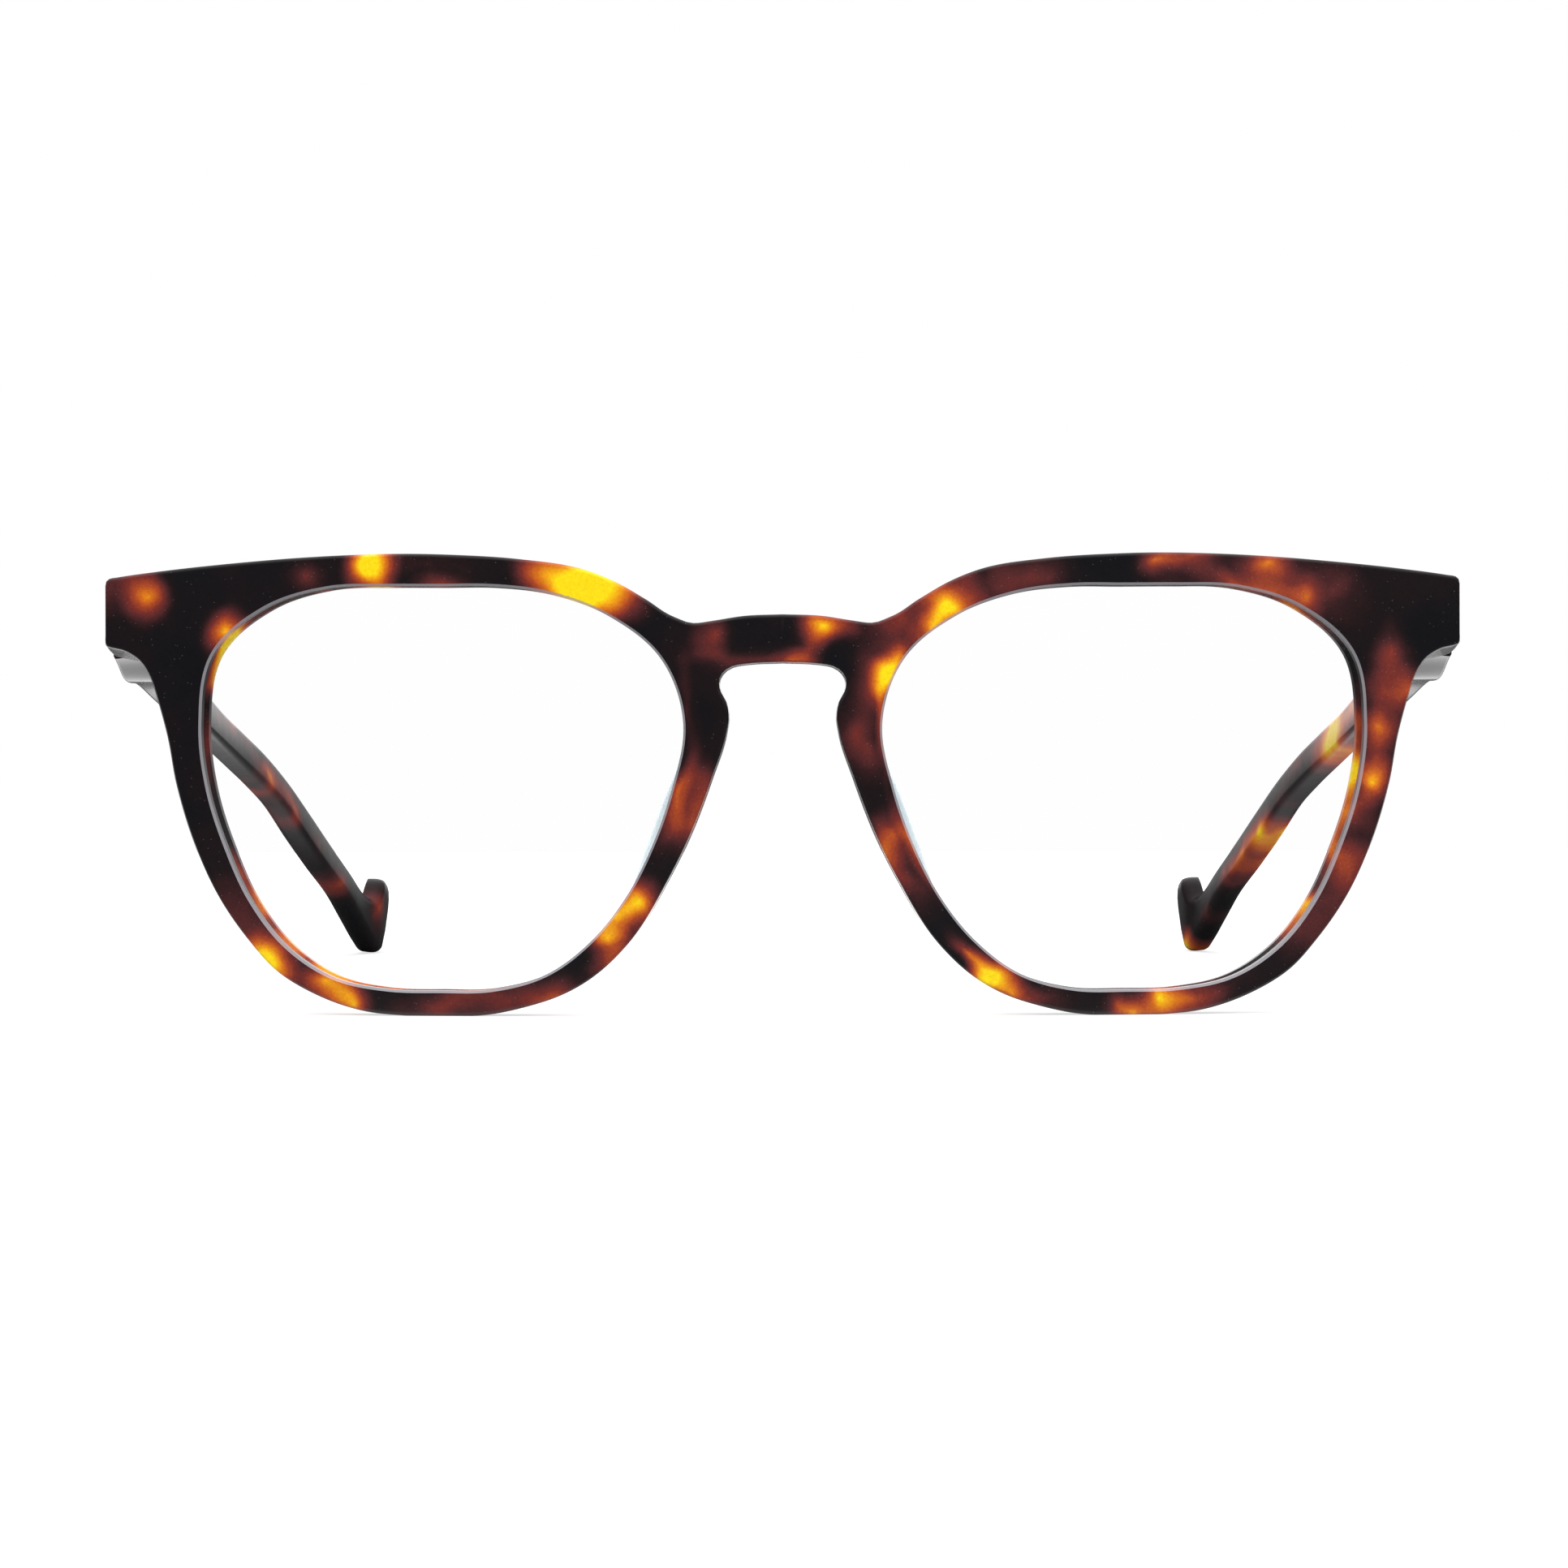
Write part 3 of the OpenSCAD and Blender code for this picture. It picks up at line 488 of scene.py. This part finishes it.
def front_sections():
    """Rings round the front's section at each station of its outer edge."""
    rim = smooth(RIM_ROWS, RIM_STEP)
    rim[:, 1] = np.maximum(rim[:, 1], 0)
    outer = rim[:, :2]
    way = np.empty_like(outer)
    way[1:-1] = outer[2:] - outer[:-2]
    way[0] = (1, 0)
    way[-1] = (-1, 0)
    inward = np.stack([way[:, 1], -way[:, 0]], 1) / np.linalg.norm(way, axis=1)[:, None]
    edge = lens_edge(rim[:, 2])
    out = lens_out(rim[:, 2])
    opening = edge + out * CHAMFER
    groove = FRONT_T / 2
    half = LENS_T / 2

    # The back outline grows at the end pieces, to the side and downwards
    share = np.clip((outer[:, 0] - GROW_FROM) / (GROW_TO - GROW_FROM), 0, 1)
    shrink = np.stack([inward[:, 0], np.maximum(inward[:, 1], 0)], 1)
    grown = outer - END_GROW * share[:, None] * shrink

    face = face_line(outer, inward, opening, edge)
    wall = [(edge, groove - half), (edge + out * (BEVEL_H + LENS_GAP), groove), (edge, groove + half)]
    back = [(flat, FRONT_T - depth) for flat, depth in reversed(face_line(grown, inward, opening, edge))]
    return np.stack([bend(flat, depth) for flat, depth in face + wall + back], 1)


def front_frame():
    """Both halves of the front. Its chamfers round the lenses are in the second material slot."""
    rings = front_sections()
    stations, points = rings.shape[:2]
    shift = (stations - 1) * points
    seam = range(EDGE_POINTS - 1, points - EDGE_POINTS)
    faces = grid_faces(stations, points) + [(shift + j, shift + j + 1, j + 1, j) for j in seam]
    sides = list(range(points)) * (stations - 1) + list(seam)
    chamfer = EDGE_POINTS + len(FACE_SHARES)
    chamfers = (chamfer, points - 2 - chamfer)
    half = rings.reshape(-1, 3)
    both = np.vstack([half, half * np.array([-1, 1, 1])])
    faces += [tuple(len(half) + k for k in face) for face in faces]
    return new_object("front", both, faces, FRONT_SHARP, [int(j in chamfers) for j in sides] * 2)


def hinge_place(depth):
    """Frame at the hinge on the front, depth behind its face: x along the face, y away from it."""
    turn = math.asin(HINGE_X / (WRAP_R - HINGE_DEPTH))
    point = bend(np.array([turn * WRAP_R, PIVOT[2]]), depth)
    return Matrix.Translation(point) @ Matrix.Rotation(turn, 4, "Z")


def front_pockets():
    """Cutters for the hinge plates in the back of the front."""
    wide = PLATE_W / 2 + PLATE_GAP
    high = PLATE_H / 2 + PLATE_GAP
    pockets = [
        block((-wide, -PLATE_T - PLATE_GAP, -high), (wide, POCKET_OPEN, high), hinge_place(FRONT_T))
        for _ in range(2)]
    flip(pockets[1])
    return pockets


def temple_rings():
    """Rings with round corners along the left temple."""
    rows = np.array([
        [r[0] + TEMPLE_Y, r[1], r[2] + TEMPLE_Y, r[3], END_X - r[4], r[5]] for r in TEMPLE_ROWS])
    rows = smooth(rows, TEMPLE_STEP)
    rows[:, 3] = np.maximum(rows[:, 3], 0)
    top = rows[:, 0:2]
    low = rows[:, 2:4]
    outer_x = rows[:, 4]
    thick = rows[:, 5]
    high = np.linalg.norm(top - low, axis=1)
    up = (top - low) / high[:, None]
    middle = (top + low) / 2
    way = np.clip((middle[:, 0] - PIVOT[1]) / (top[-1, 0] - PIVOT[1]), 0, 1)
    radius = np.minimum(TEMPLE_R + (TIP_R - TEMPLE_R) * way, CORNER_LIMIT * np.minimum(high, thick))
    rings = []
    for corner, (side, over) in enumerate(((1, 1), (-1, 1), (-1, -1), (1, -1))):
        for turn in np.radians(np.linspace(0, 90, CORNER_POINTS) + corner * 90):
            x = side * (thick / 2 - radius) + radius * math.cos(turn)
            y = over * (high / 2 - radius) + radius * math.sin(turn)
            rings.append(np.column_stack([outer_x - thick / 2 + x, middle + up * y[:, None]]))
    return np.stack(rings, 1)


def temple(name, right):
    """A temple, cut along the back of the front and pocketed for its hinge leaf."""
    item = loft(name, temple_rings(), TEMPLE_SHARP)
    turn = math.asin((TEMPLE_INNER_X + TEMPLE_T / 2) / WRAP_R)
    corner = bend(np.array([turn * WRAP_R, PIVOT[2]]), FRONT_T + JOINT_GAP)
    before = block(
        (-TRIM_SIDE, -TRIM_SIDE, -TRIM_HIGH), (TRIM_SIDE, 0, TRIM_HIGH),
        Matrix.Translation(corner) @ Matrix.Rotation(turn, 4, "Z"))
    leaf = block(
        (-POCKET_OPEN, -PLATE_LEAD - PLATE_GAP, -LEAF_H / 2 - PLATE_GAP),
        (PLATE_T + PLATE_GAP, LEAF_L - PLATE_LEAD + PLATE_GAP, LEAF_H / 2 + PLATE_GAP),
        Matrix.Translation((TEMPLE_INNER_X, PIVOT[1], PIVOT[2]))
        @ Matrix.Rotation(math.radians(LEAF_TILT), 4, "X"))
    cut(item, [before, leaf], TEMPLE_SHARP)
    if right:
        flip(item)
    return item


def pad(name, right):
    """A nose pad: half rings that rise from the back of the rim and lean outwards."""
    rows = smooth(PAD_ROWS, PAD_STEP)
    high = PAD_H * rows[:, 3]
    rings = []
    for turn in np.radians(np.linspace(0, 180, PAD_POINTS)):
        lift = math.sin(turn)
        across = rows[:, 1] + PAD_LEAN * high * abs(lift) ** PAD_ROUND + rows[:, 2] * math.cos(turn)
        rings.append(bend(np.stack([across, rows[:, 0]], 1), FRONT_T + PAD_GLUE + high * lift))
    item = loft(name, np.stack(rings, 1), PAD_SHARP)
    if right:
        flip(item)
    return item


def lens(name, right):
    """A domed lens with a V bevel, from the middle of its face round to the middle of its back."""
    degrees = np.arange(0, 360, LENS_STEP)
    edge = lens_edge(degrees)
    out = lens_out(degrees)
    face_depth = FRONT_T / 2 - LENS_T / 2
    back_depth = FRONT_T / 2 + LENS_T / 2
    face = [(s, -LENS_GAP, face_depth - LENS_DOME * (1 - s * s)) for s in LENS_SHARES]
    bevel = [(1, -LENS_GAP, face_depth), (1, BEVEL_H, FRONT_T / 2), (1, -LENS_GAP, back_depth)]
    back = [(s, -LENS_GAP, back_depth - LENS_DOME * (1 - s * s)) for s in reversed(LENS_SHARES)]
    rings = []
    for share, step, depth in face + bevel + back:
        flat = LENS_MID + (edge + out * step - LENS_MID) * share
        rings.append(bend(flat, depth))
    count = len(degrees)
    points = np.vstack([np.concatenate(rings), [
        bend(LENS_MID, face_depth - LENS_DOME), bend(LENS_MID, back_depth - LENS_DOME)]])
    faces = grid_faces(len(rings), count)
    last = (len(rings) - 1) * count
    middle = len(rings) * count
    for j in range(count):
        k = (j + 1) % count
        faces.append((j, k, middle))
        faces.append((last + j, last + k, middle + 1))
    item = new_object(name, points, faces, LENS_SHARP)
    if right:
        flip(item)
    return item


# Shader helpers
def node(tree, kind, inputs=None, **settings):
    """A new shader node with its settings, and its inputs by name or number linked or set."""
    item = tree.nodes.new(kind)
    for key, value in settings.items():
        setattr(item, key, value)
    for key, value in (inputs or {}).items():
        if isinstance(value, bpy.types.NodeSocket):
            tree.links.new(value, item.inputs[key])
        else:
            item.inputs[key].default_value = value
    return item


def new_material(name):
    """An empty material, its node tree and the object's own coordinates."""
    material = bpy.data.materials.new(name)
    material.use_nodes = True
    tree = material.node_tree
    tree.nodes.clear()
    return material, tree, node(tree, "ShaderNodeTexCoord").outputs["Object"]


def finish_material(tree, shader):
    """Joins a shader to the material's output."""
    node(tree, "ShaderNodeOutputMaterial", {"Surface": shader.outputs[0]})


def maths(tree, operation, *values):
    """The result of a math node."""
    return node(tree, "ShaderNodeMath", dict(enumerate(values)), operation=operation).outputs[0]


def vector_maths(tree, operation, *values):
    """The vector result of a vector math node."""
    item = node(tree, "ShaderNodeVectorMath", dict(enumerate(values)), operation=operation)
    return item.outputs[0]


def noise(tree, place, size, detail, output="Fac"):
    """Noise whose features are about size millimetres across."""
    item = node(tree, "ShaderNodeTexNoise", {
        "Vector": place, "Scale": 1 / (size * MM), "Detail": detail})
    return item.outputs[output]


def uneven(tree, place, size, detail, lowest, spread):
    """Noise between lowest and lowest plus spread."""
    return maths(tree, "MULTIPLY_ADD", noise(tree, place, size, detail), spread, lowest)


def between(tree, value, start, end, first, last):
    """Goes from first to last while value goes from start to end."""
    return node(tree, "ShaderNodeMapRange", {
        "Value": value, "From Min": start, "From Max": end, "To Min": first, "To Max": last}).outputs[0]


def blend(tree, share, first, second):
    """The colour between two. The mix node's colour sockets are 6, 7 and 2."""
    return node(tree, "ShaderNodeMix", {"Factor": share, 6: first, 7: second},
                data_type="RGBA").outputs[2]


def bumps(tree, height, strength):
    """Normal of a surface that a height roughens."""
    return node(tree, "ShaderNodeBump", {
        "Height": height, "Strength": strength, "Distance": BUMP_DEPTH * MM}).outputs["Normal"]


def straight_seen(tree, path):
    """1 for what the camera sees, also through the lenses, and 0 for light that bounces."""
    return maths(tree, "MAXIMUM", path.outputs["Is Camera Ray"], path.outputs["Is Transmission Ray"])


# Pattern of the acetate
def patch_heat(tree, place, heat, centre, size, turn, warmth):
    """Adds one soft patch to the heat."""
    mapped = node(tree, "ShaderNodeMapping", {
        "Vector": place, "Location": Vector(centre) * MM, "Rotation": turn,
        "Scale": Vector(size) * MM}, vector_type="TEXTURE")
    soft = node(tree, "ShaderNodeTexGradient", {"Vector": mapped.outputs[0]},
                gradient_type="SPHERICAL")
    level = maths(tree, "POWER", soft.outputs["Fac"], PATCH_FALL)
    return maths(tree, "MULTIPLY_ADD", level, warmth, heat)


def front_depth(x, depth):
    """Depth in the room of a point across the bent front, depth behind its face."""
    return FRONT_Y + WRAP_R - math.sqrt((WRAP_R - depth) ** 2 - x * x)


def front_heat(tree, place, heat):
    """Patches of the front, which go through it, and those of the walls, which stay at the back."""
    layers = ((FRONT_PATCHES, FACE_DEPTH, THROUGH), (WALL_PATCHES, WALL_DEPTH, WALL_REACH))
    for patches, depth, reach in layers:
        for x, z, across, high, tilt, warmth in patches:
            heat = patch_heat(tree, place, heat, (x, front_depth(x, depth), z), (across, reach, high),
                              (0, math.radians(tilt), 0), warmth)
    return heat


def temple_heat(patches):
    """Function that adds the patches of a temple, which go through it."""
    def heat_of(tree, place, heat):
        for y, z, along, high, tilt, warmth in patches:
            heat = patch_heat(tree, place, heat, (0, y, z), (THROUGH, along, high),
                              (-math.radians(tilt), 0, 0), warmth)
        return heat
    return heat_of


# Materials
def tortoise(name, heat_of, painted_highlight=0.0, satin_tips=False):
    """Tumbled tortoiseshell acetate: warm patches in a near-black ground with dust specks, and on the
    chamfers a painted pale highlight.
    """
    material, tree, place = new_material(name)
    gloss = GLOSS
    if satin_tips:
        back = node(tree, "ShaderNodeSeparateXYZ", {0: place}).outputs["Y"]
        gloss = between(tree, back, GLOSS_END * MM, SATIN_START * MM, GLOSS, SATIN)
    swirl = noise(tree, place, SWIRL_SIZE, SWIRL_DETAIL, "Color")
    centred = vector_maths(tree, "SUBTRACT", swirl, (0.5,) * 3)
    pushed = vector_maths(tree, "ADD", place, vector_maths(tree, "MULTIPLY", centred, (SWIRL * MM,) * 3))
    heat = heat_of(tree, pushed, uneven(tree, place, *MOTTLE))
    heat = maths(tree, "ADD", heat, uneven(tree, place, *GRAIN))
    ramp = node(tree, "ShaderNodeValToRGB", {"Fac": maths(tree, "DIVIDE", heat, HOTTEST)})
    stops = ramp.color_ramp.elements
    for _ in ACETATE_COLOURS[2:]:
        stops.new(0.5)
    for stop, (warmth, colour) in zip(stops, ACETATE_COLOURS):
        stop.position = warmth
        stop.color = (*colour, 1)
    colour = vector_maths(tree, "MULTIPLY", ramp.outputs["Color"], uneven(tree, place, *TONE))
    cells = node(tree, "ShaderNodeTexVoronoi", {"Vector": place, "Scale": 1 / (SPECK_CELL * MM)})
    speck = maths(tree, "LESS_THAN", cells.outputs["Distance"], SPECK_SIZE / SPECK_CELL)
    # Dust specks, plus the painted highlight that lightens a chamfer all over
    pale = maths(tree, "MULTIPLY_ADD", speck, SPECK_SHARE, painted_highlight)
    shader = node(tree, "ShaderNodeBsdfPrincipled", {
        "Base Color": blend(tree, pale, colour, DUST_AND_HIGHLIGHT),
        "Roughness": uneven(tree, place, *ACETATE_ROUGHNESS),
        "Normal": bumps(tree, noise(tree, place, BUMP_SIZE, 2), ACETATE_BUMP),
        "IOR": ACETATE_IOR, "Specular IOR Level": ACETATE_SPECULAR,
        "Coat Weight": gloss, "Coat Roughness": COAT_ROUGHNESS})
    finish_material(tree, shader)
    return material


def coated_lens(name):
    """Clear lens with a coating: what is behind it shows, and light that enters is mirrored a little."""
    material, tree, place = new_material(name)
    clear = node(tree, "ShaderNodeBsdfTransparent", {"Color": WHITE})
    shine = node(tree, "ShaderNodeBsdfGlossy", {
        "Color": WHITE, "Roughness": uneven(tree, place, *LENS_ROUGHNESS)})
    share = node(tree, "ShaderNodeFresnel", {"IOR": LENS_MIRROR_IOR}).outputs[0]
    inside = node(tree, "ShaderNodeNewGeometry").outputs["Backfacing"]
    mirror = maths(tree, "MULTIPLY", share, maths(tree, "SUBTRACT", 1.0, inside))
    mix = node(tree, "ShaderNodeMixShader", {0: mirror, 1: clear.outputs[0], 2: shine.outputs[0]})
    finish_material(tree, mix)
    return material


def pad_acetate(name):
    """Pale clear acetate with a satin surface."""
    material, tree, place = new_material(name)
    shader = node(tree, "ShaderNodeBsdfPrincipled", {
        "Base Color": blend(tree, noise(tree, place, PAD_TINT_SIZE, 2), *PAD_COLOURS),
        "Roughness": uneven(tree, place, *PAD_ROUGHNESS),
        "Transmission Weight": PAD_CLEAR, "IOR": PAD_IOR})
    finish_material(tree, shader)
    return material


def steel(name, colour, roughness):
    """Satin metal with fine turning marks."""
    material, tree, place = new_material(name)
    marks = noise(tree, vector_maths(tree, "MULTIPLY", place, MARK_STRETCH), MARK_SIZE, 3)
    pale = tuple(min(1.0, c * MARK_PALER) for c in colour)
    shader = node(tree, "ShaderNodeBsdfPrincipled", {
        "Base Color": blend(tree, marks, (*colour, 1), (*pale, 1)), "Metallic": 1.0,
        "Roughness": maths(tree, "MULTIPLY_ADD", marks, MARK_ROUGHNESS, roughness),
        "Normal": bumps(tree, marks, METAL_BUMP)})
    finish_material(tree, shader)
    return material


def dress(item, material):
    """Gives an object one material."""
    item.data.materials.clear()
    item.data.materials.append(material)


# Room
def add_camera():
    """The photo's camera, level with the front and turned by a hair."""
    data = bpy.data.cameras.new("camera")
    data.sensor_width = SENSOR
    data.lens = SENSOR * FOCAL_PIXELS / PHOTO_WIDTH
    data.clip_start = CAMERA_NEAR
    data.shift_x = SHIFT_PIXELS / PHOTO_WIDTH
    camera = bpy.data.objects.new("camera", data)
    camera.location = (0, FRONT_Y * MM - CAMERA_DISTANCE, CAMERA_HEIGHT)
    camera.rotation_euler = (math.radians(90), math.radians(CAMERA_ROLL), 0)
    bpy.context.scene.collection.objects.link(camera)
    bpy.context.scene.camera = camera


def add_lamp(name, place, size, power):
    """A soft square lamp that faces the part and isn't mirrored in it."""
    data = bpy.data.lights.new(name, "AREA")
    data.size = size
    data.energy = power
    lamp = bpy.data.objects.new(name, data)
    lamp.location = place
    lamp.rotation_euler = (-Vector(place)).to_track_quat("-Z", "Y").to_euler()
    lamp.visible_glossy = False
    bpy.context.scene.collection.objects.link(lamp)


def add_floor():
    """White sweep that still takes the part's shadow. Its bright strip shines in the undersides."""
    mesh = bpy.data.meshes.new("floor")
    half = FLOOR_HALF
    mesh.from_pydata([(-half, -half, 0), (half, -half, 0), (half, half, 0), (-half, half, 0)],
                     [], [(0, 1, 2, 3)])
    floor = bpy.data.objects.new("floor", mesh)
    bpy.context.scene.collection.objects.link(floor)
    material, tree, place = new_material("sweep")
    path = node(tree, "ShaderNodeLightPath")
    reflected = path.outputs["Is Glossy Ray"]
    grey = maths(tree, "MULTIPLY_ADD", reflected, FLOOR_GREY_MIRRORED - FLOOR_GREY, FLOOR_GREY)
    matt = node(tree, "ShaderNodeBsdfDiffuse", {"Color": grey})
    far = node(tree, "ShaderNodeVectorMath", {0: place}, operation="LENGTH").outputs["Value"]
    white = between(tree, far, FLOOR_NEAR, FLOOR_FAR, FLOOR_WHITE_NEAR, FLOOR_WHITE_FAR)
    back = node(tree, "ShaderNodeSeparateXYZ", {0: place}).outputs["Y"]
    off = maths(tree, "ABSOLUTE", maths(tree, "SUBTRACT", back, STRIP_MIDDLE))
    strip = maths(tree, "MULTIPLY", between(tree, off, STRIP_HALF, STRIP_END, STRIP_SHINE, 0.0), reflected)
    glow = node(tree, "ShaderNodeEmission", {
        "Color": WHITE, "Strength": maths(tree, "MULTIPLY_ADD", straight_seen(tree, path), white, strip)})
    both = node(tree, "ShaderNodeAddShader", {0: matt.outputs[0], 1: glow.outputs[0]})
    finish_material(tree, both)
    dress(floor, material)


def add_world():
    """White to the eye. As a light it is a studio dome, bright overhead and dim all round."""
    world = bpy.data.worlds.new("studio")
    world.use_nodes = True
    tree = world.node_tree
    tree.nodes.clear()
    way = node(tree, "ShaderNodeTexCoord").outputs["Generated"]
    parts = node(tree, "ShaderNodeSeparateXYZ", {0: way})
    high = maths(tree, "POWER", maths(tree, "MAXIMUM", parts.outputs["Z"], 0.0), DOME_FALL)
    dome = maths(tree, "MULTIPLY_ADD", high, DOME_TOP, DOME_LOW)
    behind = between(tree, parts.outputs["Y"], BACKDROP_FROM, BACKDROP_FULL, 0.0, BACKDROP)
    above = between(tree, parts.outputs["Z"], -HORIZON, HORIZON, 0.0, 1.0)
    light = maths(tree, "MULTIPLY_ADD", behind, above, dome)
    seen = straight_seen(tree, node(tree, "ShaderNodeLightPath"))
    shown = node(tree, "ShaderNodeMix", {"Factor": seen, 2: light, 3: 1.0}, data_type="FLOAT")
    shine = node(tree, "ShaderNodeBackground", {"Color": WHITE, "Strength": shown.outputs[0]})
    node(tree, "ShaderNodeOutputWorld", {"Surface": shine.outputs[0]})
    bpy.context.scene.world = world


# The part
front = front_frame()
front.data.materials.append(tortoise("tortoise_front", front_heat))
# The chamfers round the lenses get a painted pale highlight
front.data.materials.append(tortoise("tortoise_chamfer_highlight", front_heat, CHAMFER_HIGHLIGHT))
cut(front, front_pockets(), FRONT_SHARP)
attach(front, "front")
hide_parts("front_frame")

pad_look = pad_acetate("pad_acetate")
lens_look = coated_lens("clear_lens")
for side in ("right", "left"):
    right = side == "right"
    arm = temple(side + "_arm", right)
    dress(arm, tortoise("tortoise_arm_" + side, temple_heat(TEMPLE_PATCHES[side]), satin_tips=True))
    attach(arm, side + "_temple")
    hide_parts("temple_" + side)
    nose_pad = pad(side + "_nose_pad", right)
    dress(nose_pad, pad_look)
    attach(nose_pad, "front")
    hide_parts("nose_pad_" + side)
    clear = lens(side + "_lens", right)
    dress(clear, lens_look)
    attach(clear, "front")
    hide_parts("lens_" + side)

hinge_steel = steel("hinge_steel", *HINGE_METAL)
screw_steel = steel("screw_steel", *SCREW_METAL)
wire_steel = steel("wire_steel", *WIRE_METAL)
for side in ("right", "left"):
    dress(frame["nodes"]["front_hinge_" + side], hinge_steel)
    dress(frame["nodes"]["temple_hinge_" + side], hinge_steel)
    dress(frame["nodes"]["hinge_screw_" + side], screw_steel)
    dress(frame["nodes"]["core_wire_" + side], wire_steel)

# The room
add_camera()
add_floor()
add_world()
for lamp in LAMPS:
    add_lamp(*lamp)
bpy.context.scene.view_settings.view_transform = "Standard"

bpy.context.view_layer.update()
